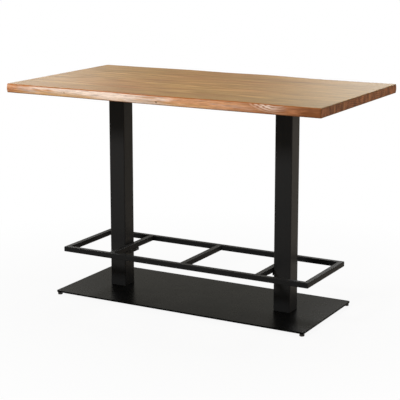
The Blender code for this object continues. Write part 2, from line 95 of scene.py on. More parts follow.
def blend_in(tree, base, tint, *shares):
    """Mix a tint into a base colour, as strongly as the product of the shares says.

    Each share is a value, where it starts and ends, and the strength at the start and at the end.
    """
    product = 1.0
    for value, start, end, strength_at_start, strength_at_end in shares:
        ramp = {"Value": value, "From Min": start, "From Max": end}
        ramp.update({"To Min": strength_at_start, "To Max": strength_at_end})
        factors = {0: product, 1: add_node(tree, "MapRange", ramp).outputs[0]}
        product = add_node(tree, "Math", factors, operation="MULTIPLY").outputs[0]
    layers = {0: product, FIRST: base, SECOND: tint}
    return add_node(tree, "Mix", layers, data_type="RGBA").outputs[BLEND]


print("white in linear light:", linear("#FFFFFF"))

# %% [markdown]
# Camera
#
# The picture was taken from the right of the table's front, from above the top, with a long lens: the
# far edges are hardly smaller than the near ones. The place and the angles below come from fitting a
# camera to the table's corners. A small vertical shift slides the frame over the picture plane, as a
# view camera does, so that the columns stay close to upright.

# %% Place the camera
CAMERA_PLACE = (2.841, -5.131, 1.830)
CAMERA_TURN = math.radians(29.03)
CAMERA_TILT = math.radians(11.03)
CAMERA_LENS_MM = 113.77
CAMERA_SENSOR_MM = 36
CAMERA_SHIFT = -0.10

lens = bpy.data.cameras.new("view_camera")
lens.lens = CAMERA_LENS_MM
lens.sensor_width = CAMERA_SENSOR_MM
lens.shift_y = CAMERA_SHIFT
camera = bpy.data.objects.new("view_camera", lens)
camera.location = CAMERA_PLACE
camera.rotation_euler = (math.radians(90) - CAMERA_TILT, 0, CAMERA_TURN)
bpy.context.scene.collection.objects.link(camera)
bpy.context.scene.camera = camera
bpy.context.scene.view_settings.view_transform = "Standard"
print("camera at", CAMERA_PLACE, "with a lens of", CAMERA_LENS_MM, "mm")

# %% [markdown]
# White studio
#
# A white background could come from very bright lamps, but those would bleach the wood. Instead the
# world asks what kind of ray is looking: the camera sees plain white, reflections see a warm white, and
# all other rays get a softer light. The warm white gives the black steel the brown sheen that it has in
# a real room. The floor does the same, but keeps a little of its own shading, so that the table still
# stands on a shadow.

# %% Make the world
AMBIENT = 0.15
STUDIO_WHITE = "#FFFFFF"
STUDIO_WALLS = "#FFFBEE"  # the walls in reflections


def seen_by_eye(tree):
    """One for camera, glossy and transmission rays, zero for the rest."""
    rays = add_node(tree, "LightPath").outputs
    direct = {0: rays["Is Camera Ray"], 1: rays["Is Glossy Ray"]}
    mirrored = add_node(tree, "Math", direct, operation="MAXIMUM")
    through = {0: mirrored.outputs[0], 1: rays["Is Transmission Ray"]}
    return add_node(tree, "Math", through, operation="MAXIMUM").outputs[0]


def warm_in_reflections(tree, tint):
    """White for the camera, and a warm tint for glossy rays."""
    rays = add_node(tree, "LightPath").outputs
    tints = {0: rays["Is Glossy Ray"], FIRST: linear(STUDIO_WHITE), SECOND: linear(tint)}
    return add_node(tree, "Mix", tints, data_type="RGBA").outputs[BLEND]


world = bpy.data.worlds.new("white_studio")
bpy.context.scene.world = world
world.use_nodes = True
sky = world.node_tree
sky.nodes.clear()
sky_level = add_node(sky, "MapRange", {"Value": seen_by_eye(sky), "To Min": AMBIENT, "To Max": 1.0})
sky_light = {"Color": warm_in_reflections(sky, STUDIO_WALLS), "Strength": sky_level.outputs[0]}
add_node(sky, "OutputWorld", {"Surface": add_node(sky, "Background", sky_light).outputs[0]})
print("ambient light", AMBIENT)

# %% Make the floor
STUDIO_PAPER = "#FFF1DE"  # the paper on the floor in reflections
PAPER_SKIN = "#D8D7D4"
FLOOR_GLOW = 0.92  # share of plain white under the table, which grows to 1 away from it
FLOOR_NEAR, FLOOR_FAR = 0.7, 1.9  # metres from the middle, between which it grows
FLOOR_SIZE = 30

paper = bpy.data.materials.new("white studio paper")
paper.use_nodes = True
paper_tree = paper.node_tree
paper_tree.nodes.clear()
paper_place = add_node(paper_tree, "TexCoord").outputs["Object"]
paper_reach = add_node(paper_tree, "VectorMath", {0: paper_place}, operation="LENGTH").outputs["Value"]
paper_fade = {"Value": paper_reach, "From Min": FLOOR_NEAR, "From Max": FLOOR_FAR, "To Min": FLOOR_GLOW}
paper_share = {0: seen_by_eye(paper_tree), 1: add_node(paper_tree, "MapRange", paper_fade).outputs[0]}
paper_glow = add_node(paper_tree, "Math", paper_share, operation="MULTIPLY")
paper_skin = add_node(paper_tree, "BsdfDiffuse", {"Color": linear(PAPER_SKIN)})
paper_light = {"Color": warm_in_reflections(paper_tree, STUDIO_PAPER), "Strength": 1.0}
paper_white = add_node(paper_tree, "Emission", paper_light)
paper_layers = {0: paper_glow.outputs[0], 1: paper_skin.outputs[0], 2: paper_white.outputs[0]}
paper_mix = add_node(paper_tree, "MixShader", paper_layers)
add_node(paper_tree, "OutputMaterial", {"Surface": paper_mix.outputs[0]})

floor_body = bmesh.new()
bmesh.ops.create_grid(floor_body, x_segments=1, y_segments=1, size=FLOOR_SIZE / 2)
floor_mesh = bpy.data.meshes.new("studio_floor")
floor_body.to_mesh(floor_mesh)
floor_body.free()
floor_mesh.materials.append(paper)
floor = bpy.data.objects.new("studio_floor", floor_mesh)
bpy.context.scene.collection.objects.link(floor)
print("floor of", FLOOR_SIZE, "m")

# %% [markdown]
# Lamps
#
# The main light is a high softbox at the front left. Its beam is narrow, so it lights the left of the
# front edge first, and the top throws a shadow on the upper ends of the columns. A weak lamp overhead
# evens out the top, and a warm one on the right lights the sides of the columns. Two lamps behind skim
# the top, which gives the oiled wood its pale sheen. Area lamps are used because their size softens
# each shadow.

# %% Place the lamps
LAMPS = (
    # name, place, aim, width and height in metres, power in watts, beam in degrees, colour
    ("front_left_softbox", (-1.2, -3.2, 2.72), (-0.20, -0.4, 1.10), (1.0, 0.6), 24, 85, "#FFFFFF"),
    ("overhead_softbox", (0.3, 0.2, 3.6), (0.0, 0.0, 1.0), (2.4, 2.4), 3, 180, "#FFFFFF"),
    ("right_softbox", (3.6, 0.8, 1.8), (0.3, 0.0, 0.6), (1.6, 1.6), 50, 180, "#FFF7EE"),
    ("back_left_softbox", (-3.0, 2.4, 2.2), (-0.5, 0.0, 1.0), (1.2, 0.5), 38, 180, "#FFFFFF"),
    ("back_right_softbox", (-0.3, 3.6, 2.2), (0.5, 0.0, 1.0), (1.2, 0.5), 46, 180, "#FFFFFF"),
)

for lamp_name, place, aim, (width, height), power, beam, tint in LAMPS:
    lamp_data = bpy.data.lights.new(lamp_name, "AREA")
    lamp_data.shape = "RECTANGLE"
    lamp_data.size = width
    lamp_data.size_y = height
    lamp_data.energy = power
    lamp_data.spread = math.radians(beam)
    lamp_data.color = linear(tint)[:3]
    lamp = bpy.data.objects.new(lamp_name, lamp_data)
    lamp.location = place
    lamp.rotation_euler = (Vector(aim) - Vector(place)).to_track_quat("-Z", "Y").to_euler()
    bpy.context.scene.collection.objects.link(lamp)
print("lamps:", ", ".join(row[0] for row in LAMPS))

# %% [markdown]
# Oiled oak
#
# The top is solid wood, planed, sanded and oiled: the oil deepens the grain and leaves a silky, not a
# glossy, skin. A flat picture of grain would break at the edges, so the grain is worked out in space.
# Growth rings are cylinders round the tree's pith, a line that runs a little aslant below or above each
# stave. Where the faces cut through those cylinders, long flames show on the top and arcs on the ends,
# as in a real plank. Each stave has a pith of its own, which is what makes a glued top look glued. A
# reddish flush lies over the middle of the boards, and towards the right end a painted sheen makes the
# wood paler and greyer.

# %% Growth rings
METRES_PER_MM = 0.001
RING_SPACING_MM = 9.0  # real rings are 2 to 4 mm apart, drawn coarser so that they show
RING_WARP_MM = 26.0
RING_DISTORTION = 0.6
RING_DETAIL_SCALE = 0.3
WAVE_RADIANS = 20  # a Wave node of scale 1 swings through this angle in one metre


def growth_rings(tree, place, flame, pith, slope):
    """Share of early wood at a point: cylinders round the pith, bent by a slow noise."""
    centred = {"Vector": place["Object"], "Location": (0, *pith), "Rotation": (0, *slope)}
    round_pith = add_node(tree, "Mapping", centred, vector_type="TEXTURE").outputs[0]
    reach = RING_WARP_MM * METRES_PER_MM
    bent = {0: flame["Color"], 1: (0, reach, reach), 2: round_pith}
    bent_place = add_node(tree, "VectorMath", bent, operation="MULTIPLY_ADD").outputs[0]
    ring_scale = 2 * math.pi / (WAVE_RADIANS * RING_SPACING_MM * METRES_PER_MM)
    rings = {"Vector": bent_place, "Scale": ring_scale}
    rings.update({"Distortion": RING_DISTORTION, "Detail Scale": RING_DETAIL_SCALE})
    return add_node(tree, "TexWave", rings, wave_type="RINGS", rings_direction="X").outputs["Fac"]


print("growth rings every", RING_SPACING_MM, "mm")

# %% Colour of the planed faces
LATE_WOOD = "#C0965A"
EARLY_WOOD = "#9E753A"
FLUSHED_WOOD = "#A0673A"
# a pale, greyish wood laid over the right end of the top: a painted sheen
PAINTED_SHEEN_WOOD = "#B6965F"
PORE_WOOD = "#7C5630"
RING_CONTRAST = 0.9
FLUSH_SHARE = 0.70
FLUSH_LIMITS = (0.40, 0.66)  # values of the noise where the flush starts and is full
FLUSH_REACH = (0.25, 0.70)  # the flush fades between these distances from the middle of the table
PAINTED_SHEEN_SHARE = 0.60
PAINTED_SHEEN_REACH = (0.10, 0.80)  # the painted sheen grows between these places along the table
CLOUD_LIMITS = (0.3, 0.7)  # nearly all values of a noise lie between these
STREAK_TONE = (0.78, 1.16)  # how dark and how pale a streak is, against the plain wood
FIBRE_TONE = (0.76, 1.19)
PORE_LIMITS = (0.60, 0.72)


def toned(tree, colour, cloud, limits, tones):
    """Darken and lighten a colour by a noise."""
    tone = {"Value": cloud["Fac"], "From Min": limits[0], "From Max": limits[1]}
    tone.update({"To Min": tones[0], "To Max": tones[1]})
    lit = {0: 1.0, FIRST: colour, SECOND: add_node(tree, "MapRange", tone).outputs[0]}
    return add_node(tree, "Mix", lit, data_type="RGBA", blend_type="MULTIPLY").outputs[BLEND]


def planed_face(tree, where, ring, noises, shade):
    """Colour of a planed face, and the share of its pores."""
    colour = blend_in(tree, linear(LATE_WOOD), linear(EARLY_WOOD), (ring, 0, 1, 0, RING_CONTRAST))
    flush = (noises["flush"]["Fac"], *FLUSH_LIMITS, 0, FLUSH_SHARE)
    from_middle = add_node(tree, "Math", {0: where["X"]}, operation="ABSOLUTE").outputs[0]
    colour = blend_in(tree, colour, linear(FLUSHED_WOOD), flush, (from_middle, *FLUSH_REACH, 1, 0))
    # painted sheen: the top is made paler and greyer towards its right end
    colour = blend_in(tree, colour, linear(PAINTED_SHEEN_WOOD), (where["X"], *PAINTED_SHEEN_REACH, 0, PAINTED_SHEEN_SHARE))
    colour = toned(tree, colour, noises["streak"], CLOUD_LIMITS, [shade * tone for tone in STREAK_TONE])
    colour = toned(tree, colour, noises["fibre"], CLOUD_LIMITS, FIBRE_TONE)
    dash = {"Value": noises["pore"]["Fac"], "From Min": PORE_LIMITS[0], "From Max": PORE_LIMITS[1]}
    in_early_wood = {0: add_node(tree, "MapRange", dash).outputs[0], 1: ring}
    pores = add_node(tree, "Math", in_early_wood, operation="MULTIPLY").outputs[0]
    return blend_in(tree, colour, linear(PORE_WOOD), (pores, 0, 1, 0, 1)), pores


print("streaks are", STREAK_TONE, "times as bright as the plain wood")

# %% [markdown]
# End grain
#
# A saw cut across the fibres drinks more oil than a planed face, so the ends are dark and reddish, and
# the rings show as arcs. Where two staves meet, a strip of paler wood can follow the glue line. The
# sanded arrises above and below are darkest.

# %% Colour of the ends
END_WOOD = "#573420"
END_RING = "#8A5A3B"
END_SEAM = "#A0704A"
END_RIM = "#3E2415"
END_LIMITS = (0.40, 0.68)
END_TONE = (0.72, 1.78)
SEAM_WIDTH = 0.022
RIM_WIDTH = 0.005
TOP_LOW, TOP_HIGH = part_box("top_stave_3")
TOP_MIDDLE = (TOP_LOW.z + TOP_HIGH.z) / 2
TOP_THICKNESS = TOP_HIGH.z - TOP_LOW.z


def end_grain(tree, where, ring, cut, back, seam):
    """Colour of a stave's end: rings, a paler strip along its back glue line, dark arrises."""
    colour = blend_in(tree, linear(END_RING), linear(END_WOOD), (ring, 0, 1, 0, 1))
    colour = toned(tree, colour, cut, END_LIMITS, END_TONE)
    colour = blend_in(tree, colour, linear(END_SEAM), (where["Y"], back - SEAM_WIDTH, back, 0, seam))
    rise = add_node(tree, "Math", {0: where["Z"], 1: TOP_MIDDLE}, operation="SUBTRACT").outputs[0]
    off_middle = add_node(tree, "Math", {0: rise}, operation="ABSOLUTE").outputs[0]
    half = TOP_THICKNESS / 2
    return blend_in(tree, colour, linear(END_RIM), (off_middle, half - RIM_WIDTH, half, 0, 1))


print("the ends are", round(TOP_THICKNESS / METRES_PER_MM), "mm thick")

# %% [markdown]
# Peeled sides
#
# Under the bark a tree is pale sapwood, with tan and red-brown heartwood further in. A live edge cuts
# through them all: this one is pale along its left half, tan in the middle and dark brown at its right
# end, with a yellower band below. One colour ramp for each band runs along the table. A noise pushes the
# place where the ramp is read to and fro, so that the colours flow into each other like stains. Where a
# branch grew out, the fibres bend round it in dark and pale arcs, and smaller twigs leave dark knots.
# The pale arcs are partly a painted sheen.

# %% Bands of the peeled sides
SAPWOOD = "#F4DBC7"
GREY_SAPWOOD = "#CDB0A2"
YELLOW_WOOD = "#DDAC72"
TAN_WOOD = "#D69C70"
RED_WOOD = "#BB7B51"
HEARTWOOD = "#9C613A"
HALF_LENGTH = TOP_HIGH.x
UPPER_RUN = (
    # share of the length, colour there
    (0.0, RED_WOOD), (0.04, TAN_WOOD), (0.07, TAN_WOOD), (0.16, SAPWOOD), (0.46, SAPWOOD),
    (0.58, TAN_WOOD), (0.71, TAN_WOOD), (0.91, RED_WOOD), (0.97, HEARTWOOD),
)
LOWER_RUN = (
    (0.0, RED_WOOD), (0.07, YELLOW_WOOD), (0.30, YELLOW_WOOD), (0.42, SAPWOOD),
    (0.56, YELLOW_WOOD), (0.70, TAN_WOOD), (0.89, RED_WOOD), (0.97, HEARTWOOD),
)
RUN_PUSH = 0.09  # how far the noise pushes along a run, as a share of the length
BAND_MIDDLE = 0.014  # where the two bands meet, above the underside
BAND_BLEND = 0.010
BAND_PUSH = 0.040
STAIN_LIMITS = (0.52, 0.66)
STAIN_SHARE = 0.50
STAIN_END = (0.35, 0.55)  # the stains fade out between these places along the table
PEELED_TONE = (0.58, 1.28)


def peeled_bands(tree, where, noises):
    """Colour of a live edge: two bands that run along the table, with grey stains."""
    push = {"Value": noises["patch"]["Fac"], "From Min": CLOUD_LIMITS[0], "From Max": CLOUD_LIMITS[1]}
    push.update({"To Min": -RUN_PUSH, "To Max": RUN_PUSH})
    along = {"Value": where["X"], "From Min": -HALF_LENGTH, "From Max": HALF_LENGTH}
    pushed = {0: add_node(tree, "MapRange", along).outputs[0]}
    pushed[1] = add_node(tree, "MapRange", push).outputs[0]
    run_place = add_node(tree, "Math", pushed, operation="ADD").outputs[0]
    bands = []
    for stops in (LOWER_RUN, UPPER_RUN):
        run = add_node(tree, "ValToRGB", {0: run_place})
        for stop in stops[2:]:
            run.color_ramp.elements.new(stop[0])
        for element, (share, colour) in zip(run.color_ramp.elements, stops):
            element.position = share
            element.color = linear(colour)
        bands.append(run.outputs[0])
    wobble = {0: noises["streak"]["Fac"], 1: BAND_PUSH, 2: where["Z"]}
    level = add_node(tree, "Math", wobble, operation="MULTIPLY_ADD").outputs[0]
    middle = TOP_LOW.z + BAND_MIDDLE + BAND_PUSH / 2
    colour = blend_in(tree, *bands, (level, middle - BAND_BLEND, middle + BAND_BLEND, 0, 1))
    stain = (noises["stain"]["Fac"], *STAIN_LIMITS, 0, STAIN_SHARE)
    colour = blend_in(tree, colour, linear(GREY_SAPWOOD), stain, (where["X"], *STAIN_END, 1, 0))
    return toned(tree, colour, noises["fleck"], CLOUD_LIMITS, PEELED_TONE)


print("colours along a live edge:", len(LOWER_RUN), "below and", len(UPPER_RUN), "above")

# %% Branch and knots
KNOT_WOOD = "#54301C"
KNOT_SHARE = 0.9
KNOT_FADE = (0.3, 1.3)  # a knot fades between these shares of its radius
KNOTS = {
    # x, z and radius of the knots in each peeled side
    "front_live_edge_stave": ((0.020, 1.021, 0.005), (-0.470, 1.030, 0.003)),
    "back_live_edge_stave": ((-0.250, 1.027, 0.006), (0.410, 1.022, 0.005)),
}
THROUGH = 100.0  # branch and knots run right through the edge, so their size along Y is large
BRANCH_PLACE = (0.575, 0.0, 1.064)
BRANCH_TURN = (0.0, 0.12, 0.0)
BRANCH_SIZE = (0.160, THROUGH, 0.056)
BRANCH_ARCS = 40.0
BRANCH_BREAKS = 12.0  # how far the stains bend the arcs
BRANCH_END = (0.555, 0.650)  # the arcs fade out between these places along the table
BRANCH_FIGURE_AND_SHEEN = (
    # wood, where in its swing an arc starts and is full, where it fades, strongest share
    (HEARTWOOD, (0.3, -1.0), (0.75, 1.05), 0.65),
    # pale arcs: partly the fibres' figure, partly a painted sheen
    (SAPWOOD, (-1.0, 0.5), (0.50, 0.95), 1.00),
)


def branch_marks(tree, place, where, stain, colour, knots):
    """Add a branch's dark arcs and pale ones, partly painted sheen, and twigs' dark knots to a live
    edge.
    """
    bowed = {"Vector": place["Object"], "Location": BRANCH_PLACE, "Scale": BRANCH_SIZE}
    bowed["Rotation"] = BRANCH_TURN
    bow_place = add_node(tree, "Mapping", bowed, vector_type="TEXTURE").outputs[0]
    bow = add_node(tree, "VectorMath", {0: bow_place}, operation="LENGTH").outputs["Value"]
    breaks = add_node(tree, "Math", {0: stain["Fac"], 1: BRANCH_BREAKS}, operation="MULTIPLY").outputs[0]
    bent = {0: bow, 1: BRANCH_ARCS, 2: breaks}
    swing = add_node(tree, "Math", bent, operation="MULTIPLY_ADD").outputs[0]
    arcs = add_node(tree, "Math", {0: swing}, operation="SINE").outputs[0]
    before_end = (where["X"], *BRANCH_END, 1, 0)
    for wood, swing_limits, reach, strongest in BRANCH_FIGURE_AND_SHEEN:
        line = (arcs, *swing_limits, 0, strongest)
        colour = blend_in(tree, colour, linear(wood), line, (bow, *reach, 1, 0), before_end)
    for x, z, radius in knots:
        spot = {"Vector": place["Object"], "Location": (x, 0, z), "Scale": (radius, THROUGH, radius)}
        knot_place = add_node(tree, "Mapping", spot, vector_type="TEXTURE").outputs[0]
        away = add_node(tree, "VectorMath", {0: knot_place}, operation="LENGTH").outputs["Value"]
        colour = blend_in(tree, colour, linear(KNOT_WOOD), (away, *KNOT_FADE, KNOT_SHARE, 0))
    return colour


print("knots in the live edges:", sum(len(knots) for knots in KNOTS.values()))

# %% [markdown]
# Staves
#
# Everything above comes together in one finish for each stave. The direction that a face looks in tells
# which wood it shows: the ends look along X, the live edges along Y, and the rest is planed. Between the
# top and a live edge the sanded arris is an orange line, and the lower arris is a dark line of
# painted shade.

# %% Noises of the oak
OAK_NOISES = {
    # name: length, width and height in millimetres, detail and roughness
    "flame": ((520.0, 75.0, 75.0), 2.0, 0.5),
    "flush": ((430.0, 95.0, 95.0), 3.0, 0.55),
    "streak": ((170.0, 36.0, 36.0), 4.0, 0.62),
    "fibre": ((240.0, 3.2, 3.2), 4.0, 0.6),  # real fibres are finer than a hair, drawn coarser to show
    "pore": ((14.0, 1.1, 1.1), 1.0, 0.4),  # real pores are about 0.3 mm wide, drawn coarser to show
    "patch": ((120.0, 60.0, 11.0), 4.0, 0.6),
    "stain": ((80.0, 30.0, 9.0), 4.0, 0.62),
    "fleck": ((60.0, 10.0, 4.2), 5.0, 0.70),
    "cut": ((200.0, 27.0, 42.0), 4.0, 0.60),
}
SEED_STEP = (1.0, 1.7, 0.3)


def spread(*sizes_mm):
    """Mapping scale that gives a pattern these sizes in millimetres along X, Y and Z."""
    return [1 / (size * METRES_PER_MM) for size in sizes_mm]


def oak_noises(tree, place, seed):
    """All noises of one stave, by name."""
    noises = {}
    for kind, (sizes_mm, detail, roughness) in OAK_NOISES.items():
        spot = {"Vector": place["Object"], "Scale": spread(*sizes_mm)}
        spot["Location"] = [seed * step for step in SEED_STEP]
        cloud = {"Vector": add_node(tree, "Mapping", spot).outputs[0], "Scale": 1.0}
        cloud.update({"Detail": detail, "Roughness": roughness})
        noises[kind] = add_node(tree, "TexNoise", cloud).outputs
    return noises


print("noises of the oak:", ", ".join(OAK_NOISES))

# %% Colour of a stave with a live edge
UPPER_ARRIS = "#B26A36"
# dark line of painted shade along the lower edge of a live edge
SHADED_LOWER_ARRIS = "#7E5230"
ARRIS_BAND = 0.0045
ARRIS_FADE = 0.002
ARRIS_FACING = (0.08, 0.40)  # how far a face has to look outwards to show its arris
LIVE_FACING = (0.35, 0.85)  # and to show peeled wood
LIVE_SIDES = {"front_live_edge_stave": -1, "back_live_edge_stave": 1}


def live_edge_colour(tree, where, facing, planed, peeled, live_side):
    """Peeled colour on the outer side, with an orange upper arris and a dark lower one of painted shade.
    """
    outward = add_node(tree, "Math", {0: facing["Y"], 1: live_side}, operation="MULTIPLY").outputs[0]
    colour = blend_in(tree, planed, peeled, (outward, *LIVE_FACING, 0, 1))
    # the lower arris is painted darker, as painted shade
    for arris, face, upward in ((UPPER_ARRIS, TOP_HIGH.z, 1), (SHADED_LOWER_ARRIS, TOP_LOW.z, -1)):
        start = face - upward * ARRIS_BAND
        near = (where["Z"], start, start + upward * ARRIS_FADE, 0, 1)
        colour = blend_in(tree, colour, linear(arris), near, (outward, *ARRIS_FACING, 0, 1))
    return colour


print("staves with a live edge:", ", ".join(LIVE_SIDES))

# %% Oak of one stave
OAK_ROUGHNESS = (0.50, 0.64)
OAK_SPECULAR = 0.07
OAK_RELIEF = 0.25
OAK_DEPTH = 0.0006
END_FACING = (0.55, 0.90)  # how far a face has to look along the table to show end grain


def new_finish(name):
    """New material, with its node tree, its shader and its texture coordinates."""
    finish = bpy.data.materials.new(name)
    finish.use_nodes = True
    tree = finish.node_tree
    return finish, tree, tree.nodes["Principled BSDF"], add_node(tree, "TexCoord").outputs


def oiled_oak(stave, pith, slope, seed, shade, seam):
    """Oiled oak of one stave. pith is the (y, z) of the tree's middle, slope its turn about Y and Z."""
    oak, tree, skin, place = new_finish("oiled oak, " + stave.replace("_", " "))
    where = add_node(tree, "SeparateXYZ", {0: place["Object"]}).outputs
    facing = add_node(tree, "SeparateXYZ", {0: place["Normal"]}).outputs
    noises = oak_noises(tree, place, seed)
    ring = growth_rings(tree, place, noises["flame"], pith, slope)
    colour, pores = planed_face(tree, where, ring, noises, shade)
    ends = end_grain(tree, where, ring, noises["cut"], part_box(stave)[1].y, seam)
    end_on = add_node(tree, "Math", {0: facing["X"]}, operation="ABSOLUTE").outputs[0]
    colour = blend_in(tree, colour, ends, (end_on, *END_FACING, 0, 1))
    if stave in LIVE_SIDES:
        bands = peeled_bands(tree, where, noises)
        peeled = branch_marks(tree, place, where, noises["stain"], bands, KNOTS[stave])
        colour = live_edge_colour(tree, where, facing, colour, peeled, LIVE_SIDES[stave])
    fibre = noises["fibre"]["Fac"]
    rough = {"Value": fibre, "To Min": OAK_ROUGHNESS[0], "To Max": OAK_ROUGHNESS[1]}
    height = add_node(tree, "Math", {0: fibre, 1: pores}, operation="SUBTRACT").outputs[0]
    relief = {"Height": height, "Strength": OAK_RELIEF, "Distance": OAK_DEPTH}
    look = {"Base Color": colour, "Specular IOR Level": OAK_SPECULAR}
    look["Roughness"] = add_node(tree, "MapRange", rough).outputs[0]
    look["Normal"] = add_node(tree, "Bump", relief).outputs[0]
    fill(tree, skin, look)
    return oak


print("the oak's roughness goes from", OAK_ROUGHNESS[0], "to", OAK_ROUGHNESS[1])

# %% Give each stave its own oak
STAVES = {
    # pith (y, z), slope about Y and Z, seed, shade, seam at the back of its end
    "front_live_edge_stave": ((-0.26, 0.985), (0.012, 0.010), 3.1, 0.88, 0.8),
    "top_stave_1": ((-0.25, 0.930), (-0.020, 0.006), 7.7, 0.99, 0.8),
    "top_stave_2": ((-0.09, 0.900), (0.018, -0.012), 12.4, 1.05, 0.1),
    "top_stave_3": ((0.03, 1.150), (0.015, 0.010), 18.9, 0.99, 0.9),
    "top_stave_4": ((0.19, 0.940), (-0.016, 0.014), 23.3, 1.01, 0.4),
    "top_stave_5": ((0.30, 0.915), (0.022, -0.008), 29.6, 0.89, 0.4),
    "back_live_edge_stave": ((0.27, 0.990), (-0.014, -0.010), 34.2, 1.00, 0.0),
}

stave_oak = {}
for stave, recipe in STAVES.items():
    stave_oak[stave] = oiled_oak(stave, *recipe)
    table_nodes[stave].material_slots[0].material = stave_oak[stave]
print("oak for", len(stave_oak), "staves")

# %% [markdown]
# Live edges
#
# The long edges of the top are left as the tree grew: the bark is peeled off and the wood under it is
# only brushed. In the CAD model such an edge is a smooth wave. Here it gets the small hollows, ridges
# and knots of a peeled trunk. A displacement texture could fake them, but they also show in the
# outline, so each outer stave is cut into a fine grid, and every point of its outer face is moved. The
# wave itself repeats the CAD model's own points, so the piece stays where the CAD stave is.

# %% Waves of the live edges
FRONT_ARRIS = 0.005
BACK_ARRIS = 0.009
ARRIS_LOWER = 0.006
EDGE_BULGE = 0.003
PLAN_CORNER = 0.006
END_CHAMFER = 0.002
FRONT_UPPER = (
    # share of the half length, depth in millimetres inside the outermost line
    (-1.0, 14), (-0.69, 7), (-0.31, 13), (-0.08, 0), (0.22, 10), (0.55, 22), (0.78, 13), (1.0, 15),
)
FRONT_LOWER = ((-1.0, 13), (-0.60, 16), (-0.10, 9), (0.40, 8), (1.0, 12))
BACK_UPPER = (
    (-1.0, 17), (-0.80, 16), (-0.40, 2), (-0.12, 11), (0.16, 0), (0.55, 24), (0.78, 20), (1.0, 10),
)
BACK_LOWER = ((-1.0, 14), (-0.50, 8), (0.05, 12), (0.50, 16), (1.0, 12))


def wave_depth(wave, share):
    """Depth of a wave in metres at a share of the half length, eased between its points."""
    depth = wave[-1][1]
    for (share_a, depth_a), (share_b, depth_b) in zip(wave, wave[1:]):
        if share <= share_b:
            part = (share - share_a) / (share_b - share_a)
            depth = depth_a + (depth_b - depth_a) * part * part * (3 - 2 * part)
            break
    return depth * METRES_PER_MM


print("front edge is", max(point[1] for point in FRONT_UPPER), "mm deep at its deepest")

# %% Hollows, ridges and knots of a peeled trunk
RIPPLE_BASE = 0.0011
RIPPLES = (
    # length, height and strength of each kind of ripple, in metres
    (0.085, 0.060, 0.0010),  # long hollows
    (0.024, 0.012, 0.0004),  # dents
    (0.150, 0.0048, 0.0003),  # grooves along the fibres
)
RIPPLE_SEED_STEP = 3.7
KNOT_RISE = 0.0012
KNOT_SHARPNESS = 3


def ripple_depth(x, z, seed, knots):
    """How far a point of a live edge lies inside its smooth wave."""
    depth = RIPPLE_BASE
    for length, height, strength in RIPPLES:
        seed += RIPPLE_SEED_STEP
        depth += strength * noise.noise(Vector((x / length, z / height, seed)))
    for knot_x, knot_z, radius in knots:
        away = math.hypot(x - knot_x, z - knot_z) / radius
        depth -= KNOT_RISE * math.exp(-((away - 1.0) ** 2) * KNOT_SHARPNESS)
    return max(depth, 0.0)


print("ripple at the middle:", round(ripple_depth(0.0, TOP_MIDDLE, 1.0, ()) / METRES_PER_MM, 2), "mm")

# %% Helper that turns a body into a piece
SHARP_ANGLE = math.radians(38)


def finish_piece(body, name, finish, body_name):
    """Make a body an object at the origin, with its finish, riding on a body of the table."""
    mesh = bpy.data.meshes.new(name)
    body.to_mesh(mesh)
    body.free()
    mesh.shade_smooth()
    mesh.set_sharp_from_angle(angle=SHARP_ANGLE)
    mesh.materials.append(finish)
    piece = bpy.data.objects.new(name, mesh)
    bpy.context.scene.collection.objects.link(piece)
    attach(piece, body_name)
    print(name, "has", len(mesh.polygons), "faces")
    return piece


print("edges stay sharp from", round(math.degrees(SHARP_ANGLE)), "degrees")

# %% Cut an outer stave into a grid
LENGTH_CUTS = 399
FACE_CUTS = 26
STRIP = 0.060  # the part of the upper and lower faces that follows the wave
STRIP_CUTS = (0.008, 0.020, 0.038, STRIP)
CORNER_CUTS = (0.0004, 0.0009, 0.002, 0.006, 0.009)
TINY = 0.00001


def gridded_stave(low, high, outer):
    """Block of a stave's size, cut finely along its length and down its outer face."""
    body = bmesh.new()
    bmesh.ops.create_cube(body, size=1)
    bmesh.ops.scale(body, vec=high - low, verts=body.verts)
    bmesh.ops.translate(body, vec=(low + high) / 2, verts=body.verts)
    lengthwise = [edge for edge in body.edges if abs(edge.verts[0].co.x - edge.verts[1].co.x) > TINY]
    bmesh.ops.subdivide_edges(body, edges=lengthwise, cuts=LENGTH_CUTS, use_grid_fill=True)
    planes = []
    for reach in CORNER_CUTS:
        for x in (reach - HALF_LENGTH, HALF_LENGTH - reach):
            planes.append(((x, 0, 0), (1, 0, 0)))
    for inset in STRIP_CUTS:
        planes.append(((0, outer - math.copysign(inset, outer), 0), (0, 1, 0)))
    for point, direction in planes:
        everything = list(body.verts) + list(body.edges) + list(body.faces)
        bmesh.ops.bisect_plane(body, geom=everything, plane_co=point, plane_no=direction)
    uprights = []
    for edge in body.edges:
        on_face = all(abs(vert.co.y - outer) < TINY for vert in edge.verts)
        if on_face and abs(edge.verts[0].co.z - edge.verts[1].co.z) > TINY:
            uprights.append(edge)
    bmesh.ops.subdivide_edges(body, edges=uprights, cuts=FACE_CUTS, use_grid_fill=True)
    return body


print("cuts along an outer stave:", LENGTH_CUTS, "and down its face:", FACE_CUTS)

# %% Move the outer face into its live edge
def edge_section(share, upper, lower, arris):
    """Depth and drop of a live edge's section, from 0 at the top face to 1 at the underside."""
    arcs = (arris * math.pi / 2, TOP_THICKNESS - arris - ARRIS_LOWER, ARRIS_LOWER * math.pi / 2)
    run = share * sum(arcs)
    if run < arcs[0]:
        angle = run / arris
        return upper + arris * (1 - math.sin(angle)), arris * (1 - math.cos(angle))
    run -= arcs[0]
    if run < arcs[1]:
        part = run / arcs[1]
        bulge = EDGE_BULGE * math.sin(math.pi * part)
        return upper + (lower - upper) * part - bulge, arris + run
    angle = (run - arcs[1]) / ARRIS_LOWER
    drop = TOP_THICKNESS - ARRIS_LOWER * (1 - math.sin(angle))
    return lower + ARRIS_LOWER * (1 - math.cos(angle)), drop


